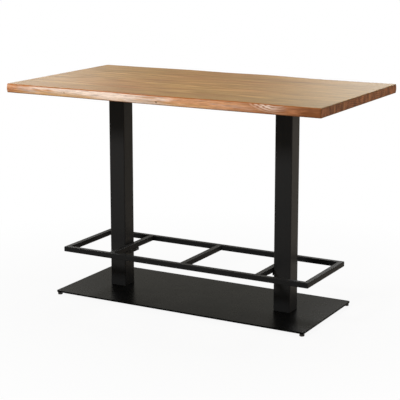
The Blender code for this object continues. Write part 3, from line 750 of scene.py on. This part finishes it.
def live_edge(name, stave, waves, arris, seed):
    """Outer stave with a natural edge, in place of the CAD stave."""
    low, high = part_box(stave)
    outer = low.y if low.y < 0 else high.y
    inward = -1 if outer > 0 else 1
    body = gridded_stave(low, high, outer)
    for vert in body.verts:
        x, y, z = vert.co
        to_end = HALF_LENGTH - abs(x)
        corner = max(0.0, PLAN_CORNER - to_end)
        corner_depth = PLAN_CORNER - math.sqrt(max(0.0, PLAN_CORNER**2 - corner**2))
        upper, lower = (wave_depth(wave, x / HALF_LENGTH) + corner_depth for wave in waves)
        inside = abs(y - outer)
        if inside < TINY:
            depth, drop = edge_section((high.z - z) / TOP_THICKNESS, upper, lower, arris)
            depth += ripple_depth(x, z, seed, KNOTS[stave])
            vert.co.y = outer + inward * max(depth, 0.0)
            vert.co.z = high.z - drop
        elif inside < STRIP - TINY:
            starts = {high.z: upper + arris, low.z: lower + ARRIS_LOWER}
            face = min(starts, key=lambda level: abs(level - z))
            start = starts[face] + ripple_depth(x, z, seed, KNOTS[stave])
            vert.co.y = outer + inward * (start + inside / STRIP * (STRIP - start))
        trim = max(0.0, END_CHAMFER - to_end)
        vert.co.z = TOP_MIDDLE + (vert.co.z - TOP_MIDDLE) * (1 - 2 * trim / TOP_THICKNESS)
    bmesh.ops.recalc_face_normals(body, faces=body.faces)
    piece = finish_piece(body, name, stave_oak[stave], "table")
    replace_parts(piece, stave)


live_edge("front_live_edge", "front_live_edge_stave", (FRONT_UPPER, FRONT_LOWER), FRONT_ARRIS, seed=2.0)
live_edge("back_live_edge", "back_live_edge_stave", (BACK_UPPER, BACK_LOWER), BACK_ARRIS, seed=41.0)

# %% [markdown]
# Powder coat
#
# The steel is sprayed with dry powder and baked. The baked skin is black, with a faint orange-peel
# surface, and it lies thinner on the edges. A Bevel node finds those edges: where its rounded normal
# departs from the true one, an edge is near. There the colour is paler, partly wear and partly a painted
# sheen. The footrest has a matt coat and the columns a silkier one. The base plate has a darker satin
# coat, which mirrors the columns softly.

# %% Make the three powder coats
COATS = {
    # name: black, edge wear and painted sheen, roughness from and to, specular level, relief
    "matt black powder coat on steel": ("#212121", "#2C2B2A", (0.36, 0.42), 0.022, 0.05),
    "silky black powder coat on steel": ("#252525", "#313030", (0.32, 0.38), 0.048, 0.05),
    "satin black powder coat on steel": ("#0A0A0A", "#1E1D1C", (0.26, 0.31), 0.012, 0.015),
}
COAT_CLOUDS = (
    # size in millimetres, detail
    (2.4, 2.0),  # real orange peel is about 1 mm, drawn coarser so that it shows
    (60.0, 4.0),  # broad clouds of more and less gloss
)
COAT_DEPTH = 0.0004
COAT_EDGE = 0.0022
EDGE_SAMPLES = 4
EDGE_LIMITS = (0.99, 0.80)  # agreement of the two normals where an edge starts and is full


def powder_coat(name, black, edge_wear_and_sheen, roughness, specular, bump):
    """Baked powder coat: its black, its paler edges of wear and painted sheen, its roughness from and
    to.
    """
    coat, tree, skin, place = new_finish(name)
    clouds = []
    for size_mm, detail in COAT_CLOUDS:
        spot = {"Vector": place["Object"], "Scale": spread(size_mm, size_mm, size_mm)}
        cloud = {"Vector": add_node(tree, "Mapping", spot).outputs[0], "Scale": 1.0, "Detail": detail}
        clouds.append(add_node(tree, "TexNoise", cloud).outputs["Fac"])
    peel, gloss = clouds
    normals = {0: add_node(tree, "Bevel", {"Radius": COAT_EDGE}, samples=EDGE_SAMPLES).outputs[0]}
    normals[1] = add_node(tree, "NewGeometry").outputs["Normal"]
    agreement = add_node(tree, "VectorMath", normals, operation="DOT_PRODUCT").outputs["Value"]
    # paler edges: partly wear of the thin coat, partly a painted sheen
    colour = blend_in(tree, linear(black), linear(edge_wear_and_sheen), (agreement, *EDGE_LIMITS, 0, 1))
    sheen = {"Value": gloss, "From Min": CLOUD_LIMITS[0], "From Max": CLOUD_LIMITS[1]}
    sheen.update({"To Min": roughness[0], "To Max": roughness[1]})
    relief = {"Height": peel, "Strength": bump, "Distance": COAT_DEPTH}
    look = {"Base Color": colour, "Specular IOR Level": specular}
    look["Roughness"] = add_node(tree, "MapRange", sheen).outputs[0]
    look["Normal"] = add_node(tree, "Bump", relief).outputs[0]
    fill(tree, skin, look)
    return coat


matt_coat, silky_coat, satin_coat = (powder_coat(name, *recipe) for name, recipe in COATS.items())
print("coats:", ", ".join(COATS))

# %% Coat the steel
coated = []
for node in table_nodes.values():
    if node.material_slots[0].material.name.startswith("powder_coat"):
        coated.append(node)
for node in coated:
    node.material_slots[0].material = matt_coat
table_nodes["base_plate"].material_slots[0].material = satin_coat
for side in ("left", "right"):
    table_nodes[side + "_column"].material_slots[0].material = silky_coat
print("powder coat on", len(coated), "nodes")

# %% [markdown]
# Zinc, black zinc and rubber
#
# The screws and bolts are zinc plated: pale, bluish metal with a fine, cloudy grain from the bath. The
# stems of the feet and the footrest's bolts are plated black, so that they don't shine on the dark
# steel. The pads under the stems are moulded rubber, which is dull, with a little dust in its pores. All
# three share one recipe.

# %% Make the plated steels and the rubber
PLATING_GRAIN_MM = 0.8  # real grain is finer than the eye can see, drawn coarser so that it shows
RUBBER_GRAIN_MM = 0.7  # coarser than the real pores too
FINE_DETAIL = 3.0
FINE_DEPTH = 0.0002
FINE_FINISHES = {
    # name: dark colour, pale colour, metallic, roughness from and to, grain in millimetres, bump
    "zinc plating, clear": ("#8E9296", "#C2C6CA", 1.0, (0.28, 0.46), PLATING_GRAIN_MM, 0.15),
    "zinc plating, black": ("#141414", "#2B2B2A", 0.6, (0.34, 0.52), PLATING_GRAIN_MM, 0.15),
    "moulded black rubber": ("#0E0E0D", "#1C1B1A", 0.0, (0.70, 0.88), RUBBER_GRAIN_MM, 0.35),
}


def fine_grained(name, dark, pale, metallic, roughness, grain_mm, bump):
    """Finish with a fine cloudy grain in its colour, roughness and relief."""
    finish, tree, skin, place = new_finish(name)
    spot = {"Vector": place["Object"], "Scale": spread(grain_mm, grain_mm, grain_mm)}
    cloud = {"Vector": add_node(tree, "Mapping", spot).outputs[0], "Scale": 1.0, "Detail": FINE_DETAIL}
    grain = add_node(tree, "TexNoise", cloud).outputs["Fac"]
    rough = {"Value": grain, "To Min": roughness[0], "To Max": roughness[1]}
    relief = {"Height": grain, "Strength": bump, "Distance": FINE_DEPTH}
    look = {"Metallic": metallic}
    look["Base Color"] = blend_in(tree, linear(dark), linear(pale), (grain, 0, 1, 0, 1))
    look["Roughness"] = add_node(tree, "MapRange", rough).outputs[0]
    look["Normal"] = add_node(tree, "Bump", relief).outputs[0]
    fill(tree, skin, look)
    return finish


zinc, black_zinc, rubber = (fine_grained(name, *recipe) for name, recipe in FINE_FINISHES.items())
print("fine-grained finishes:", ", ".join(FINE_FINISHES))

# %% [markdown]
# Turned pieces with hexagon sockets
#
# Bolts, screws, stems and pads are all turned shapes. A full spin of a profile would do, but extruding
# a ring of edges again and again, and scaling each new ring, gives the same shape and leaves the first
# ring open. Bridging that ring to a smaller hexagon, and pushing the hexagon inwards, makes the socket
# for the key.

# %% Helpers that turn a profile and gather copies
ROUND_SIDES = 32
KEY_SIDES = 6


def new_ring(made):
    """Vertices and edges of the ring that an edge extrusion has just made."""
    verts = [item for item in made["geom"] if isinstance(item, bmesh.types.BMVert)]
    edges = [item for item in made["geom"] if isinstance(item, bmesh.types.BMEdge)]
    return verts, [edge for edge in edges if all(vert in verts for vert in edge.verts)]


def turned(profile, sides=ROUND_SIDES, key=0.0, key_depth=0.0):
    """Closed shape through (radius, height) points about Z, with a hexagon socket in its first end."""
    body = bmesh.new()
    radius, height = profile[0]
    rim = bmesh.ops.create_circle(body, radius=radius, segments=sides)["verts"]
    bmesh.ops.translate(body, vec=(0, 0, height), verts=rim)
    rim_edges = list(body.edges)
    ring_edges = rim_edges
    for next_radius, next_height in profile[1:]:
        ring, ring_edges = new_ring(bmesh.ops.extrude_edge_only(body, edges=ring_edges))
        grown = next_radius / radius
        bmesh.ops.scale(body, vec=(grown, grown, 1), verts=ring)
        bmesh.ops.translate(body, vec=(0, 0, next_height - height), verts=ring)
        radius, height = next_radius, next_height
    bmesh.ops.edgeloop_fill(body, edges=ring_edges)
    if key:
        hexagon = bmesh.ops.create_circle(body, radius=key, segments=KEY_SIDES)["verts"]
        bmesh.ops.translate(body, vec=(0, 0, profile[0][1]), verts=hexagon)
        hexagon_edges = [edge for edge in body.edges if all(vert in hexagon for vert in edge.verts)]
        bmesh.ops.bridge_loops(body, edges=rim_edges + hexagon_edges)
        floor_verts, rim_edges = new_ring(bmesh.ops.extrude_edge_only(body, edges=hexagon_edges))
        bmesh.ops.translate(body, vec=(0, 0, key_depth), verts=floor_verts)
    bmesh.ops.edgeloop_fill(body, edges=rim_edges)
    bmesh.ops.recalc_face_normals(body, faces=body.faces)
    return body


def gather(target, source, place):
    """Add a copy of one body to another, moved by a matrix."""
    copy = bpy.data.meshes.new("copy")
    source.to_mesh(copy)
    copy.transform(place)
    target.from_mesh(copy)
    bpy.data.meshes.remove(copy)


print("turned shapes have", ROUND_SIDES, "sides")

# %% [markdown]
# Screws and bolts
#
# Pan-head screws hold the top to its head plates, countersunk bolts hold the columns to the base plate,
# and button-head bolts hold the footrest. The CAD ones are plain, so each set is replaced by one with
# sockets. The CAD node's box gives each bolt its axis, length and head, and its key sits where the box
# begins.

# %% Make the wood screws and the column bolts
SCREW_COUNT = 6
SCREW_HEAD = 0.0032
SCREW_PROFILE = (
    (0.0040, 0.0), (0.0052, 0.0005), (0.0058, 0.0011), (0.0060, 0.0018), (0.0060, SCREW_HEAD),
)
SCREW_SHANK = 0.0025
SCREW_POINT = 0.006
SCREW_TIP = 0.0003
SCREW_KEY, SCREW_KEY_DEPTH = 0.0023, 0.0020
BOLT_COUNT = 4
BOLT_SHANK = 0.0040
BOLT_PROFILE = ((0.0072, 0.0), (0.0075, 0.0003), (BOLT_SHANK, 0.0040))
BOLT_TIP = 0.0034
BOLT_CHAMFER = 0.0006
BOLT_KEY, BOLT_KEY_DEPTH = 0.0029, 0.0028


def upright_bolts(side, kind, count, profile, key, key_depth, tip):
    """All upright screws or bolts of one column as one piece, in place of their CAD nodes."""
    fixings = bmesh.new()
    nodes = [f"{side}_{kind}_{number}" for number in range(1, count + 1)]
    for node in nodes:
        low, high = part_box(node)
        shape = turned(profile + tip(high.z - low.z), key=key, key_depth=key_depth)
        gather(fixings, shape, Matrix.Translation(((low.x + high.x) / 2, (low.y + high.y) / 2, low.z)))
        shape.free()
    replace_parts(finish_piece(fixings, f"{side}_{kind}s", zinc, "table"), *nodes)


def screw_tip(length):
    """Shank and point of a wood screw."""
    return ((SCREW_SHANK, SCREW_HEAD), (SCREW_SHANK, length - SCREW_POINT), (SCREW_TIP, length))


def bolt_tip(length):
    """Shank of a column bolt."""
    return ((BOLT_SHANK, length - BOLT_CHAMFER), (BOLT_TIP, length))


for side in ("left", "right"):
    upright_bolts(side, "top_screw", SCREW_COUNT, SCREW_PROFILE, SCREW_KEY, SCREW_KEY_DEPTH, screw_tip)
    upright_bolts(side, "column_bolt", BOLT_COUNT, BOLT_PROFILE, BOLT_KEY, BOLT_KEY_DEPTH, bolt_tip)

# %% Make the footrest bolts
BUTTON_HEAD = 0.0033
BUTTON_PROFILE = (
    (0.0030, 0.0), (0.0040, 0.0005), (0.0047, 0.0012), (0.0050, 0.0020), (0.0050, BUTTON_HEAD),
)
BUTTON_SHANK = 0.0030
BUTTON_KEY, BUTTON_KEY_DEPTH = 0.0022, 0.0020

for side, outward in (("left", -1), ("right", 1)):
    fixings = bmesh.new()
    nodes = [f"{side}_footrest_bolt_{number}" for number in (1, 2)]
    for node in nodes:
        low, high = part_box(node)
        shank = ((BUTTON_SHANK, BUTTON_HEAD), (BUTTON_SHANK, high.x - low.x))
        shape = turned(BUTTON_PROFILE + shank, key=BUTTON_KEY, key_depth=BUTTON_KEY_DEPTH)
        start = low.x if outward > 0 else high.x
        along_x = Matrix.Rotation(outward * math.radians(90), 4, "Y")
        head = Matrix.Translation((start, (low.y + high.y) / 2, (low.z + high.z) / 2))
        gather(fixings, shape, head @ along_x)
        shape.free()
    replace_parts(finish_piece(fixings, f"{side}_footrest_bolts", black_zinc, "table"), *nodes)

# %% [markdown]
# Levelling feet
#
# Each foot is a threaded stem in a rubber pad. A key in the stem's upper end turns it, from above the
# base plate. The thread is drawn as rings, because at this size a ring and a helix look the same. The
# pad has grip grooves round its side. Pad and stem ride on the foot's own body, so they move when it is
# levelled.

# %% Make the pads and the stems
STEM_RADIUS = 0.0040
STEM_ROOT = 0.0034
THREAD_PITCH = 0.00125
THREAD_END = 1.6  # the rings stop this many pitches before the stem's lower end
STEM_KEY, STEM_KEY_DEPTH = 0.0021, 0.0030
PAD_SIDES = 48
PAD_PROFILE = (
    # share of the pad's radius, share of its height
    (0.88, 0.0), (0.94, 0.02), (0.98, 0.08), (1.0, 0.18),
    (1.0, 0.30), (0.97, 0.33), (0.97, 0.38), (1.0, 0.41),
    (1.0, 0.51), (0.97, 0.54), (0.97, 0.59), (1.0, 0.62),
    (1.0, 0.80), (0.97, 0.90), (0.90, 0.97), (0.80, 1.0),
    (0.41, 1.0), (0.41, 0.32),
)

for foot in ("front_left_foot", "front_right_foot", "back_left_foot", "back_right_foot"):
    low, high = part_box(foot + "_pad")
    size = high - low
    pad_profile = tuple((size.x / 2 * radius, size.z * height) for radius, height in PAD_PROFILE)
    pad = turned(pad_profile, PAD_SIDES)
    bmesh.ops.translate(pad, vec=((low.x + high.x) / 2, (low.y + high.y) / 2, low.z), verts=pad.verts)
    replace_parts(finish_piece(pad, foot + "_grip_pad", rubber, foot), foot + "_pad")
    low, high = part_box(foot + "_stem")
    length = high.z - low.z
    thread = [(STEM_ROOT, 0.0), (STEM_RADIUS, THREAD_PITCH / 2)]
    while thread[-1][1] < length - THREAD_END * THREAD_PITCH:
        thread.append((STEM_ROOT, thread[-1][1] + THREAD_PITCH / 2))
        thread.append((STEM_RADIUS, thread[-1][1] + THREAD_PITCH / 2))
    thread.append((STEM_ROOT, length))
    stem = turned(tuple(thread), key=STEM_KEY, key_depth=STEM_KEY_DEPTH)
    bmesh.ops.rotate(stem, matrix=Matrix.Rotation(math.pi, 3, "X"), verts=stem.verts)
    bmesh.ops.translate(stem, vec=((low.x + high.x) / 2, (low.y + high.y) / 2, high.z), verts=stem.verts)
    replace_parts(finish_piece(stem, foot + "_threaded_stem", black_zinc, foot), foot + "_stem")

# %% [markdown]
# Weld beads
#
# The footrest is welded up from square tube, and the head plates are welded to the columns. A weld
# leaves a bead with small ripples, one for each dab of the torch. Under powder coat the ripples are
# soft, but they still catch the light. Each bead is a turned shape that swells and shrinks, laid into
# the corner it fills.

# %% Helper that lays a bead
BEAD_SIDES = 10
BEAD_RIPPLE = 0.0032
BEAD_START, BEAD_END = 0.55, 0.5  # radius at the ends, as a share of the bead's own
BEAD_CREST = 0.35  # place of a ripple's crest in its step
BEAD_VALLEY, BEAD_WAIST = 0.9, 0.84  # place of the valley after it, and the radius there


def lay_bead(target, start, end, radius):
    """Lay one rippled weld bead from start to end."""
    run = Vector(end) - Vector(start)
    ripples = max(2, round(run.length / BEAD_RIPPLE))
    step = run.length / ripples
    profile = [(radius * BEAD_START, 0.0)]
    for ripple in range(ripples):
        profile.append((radius, (ripple + BEAD_CREST) * step))
        profile.append((radius * BEAD_WAIST, (ripple + BEAD_VALLEY) * step))
    profile.append((radius * BEAD_END, run.length))
    bead = turned(tuple(profile), BEAD_SIDES)
    turn = run.to_track_quat("Z", "Y").to_matrix().to_4x4()
    gather(target, bead, Matrix.Translation(start) @ turn)
    bead.free()


print("a bead ripples every", BEAD_RIPPLE / METRES_PER_MM, "mm")

# %% Weld the head plates and the footrest
HEAD_BEAD = 0.0028
RAIL_BEAD = 0.0014
COLUMN_CORNER = 0.006
TUBE_CORNER = 0.003
STITCH = 0.022

head_welds = bmesh.new()
for side in ("left", "right"):
    low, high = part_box(side + "_column")
    inner = (low.x + COLUMN_CORNER, low.y + COLUMN_CORNER)
    outer = (high.x - COLUMN_CORNER, high.y - COLUMN_CORNER)
    for x in (low.x, high.x):
        lay_bead(head_welds, (x, inner[1], high.z), (x, outer[1], high.z), HEAD_BEAD)
    for y in (low.y, high.y):
        lay_bead(head_welds, (inner[0], y, high.z), (outer[0], y, high.z), HEAD_BEAD)
finish_piece(head_welds, "head_plate_weld_beads", matt_coat, "table")

rail_welds = bmesh.new()
for bar in ("left", "middle", "right"):
    low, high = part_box(f"footrest_{bar}_crossbar")
    for x in (low.x, high.x):
        for y in (low.y, high.y):
            lay_bead(rail_welds, (x, y, low.z + TUBE_CORNER), (x, y, high.z - TUBE_CORNER), RAIL_BEAD)
for side, outward in (("left", -1), ("right", 1)):
    low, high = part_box(side + "_footrest_bracket")
    free_side = low.x if outward > 0 else high.x
    for y in (low.y + STITCH, high.y - STITCH):
        start = (free_side, y - STITCH / 2, high.z)
        lay_bead(rail_welds, start, (free_side, y + STITCH / 2, high.z), RAIL_BEAD)
finish_piece(rail_welds, "footrest_weld_beads", matt_coat, "table")

# %% [markdown]
# Last look
#
# The CAD nodes that finer pieces replace are hidden, and all others should have a finish by now. A list
# of those whose material is still a plain colour shows whether any was forgotten.

# %% Look for nodes without a finish
PLAIN_NODES = 4  # a finish with fewer shader nodes than this is a plain colour
left_plain = []
for name, node in table_nodes.items():
    finish = node.material_slots[0].material
    if not node.hide_render and len(finish.node_tree.nodes) < PLAIN_NODES:
        left_plain.append(name)
print("nodes without a detailed finish:", left_plain)
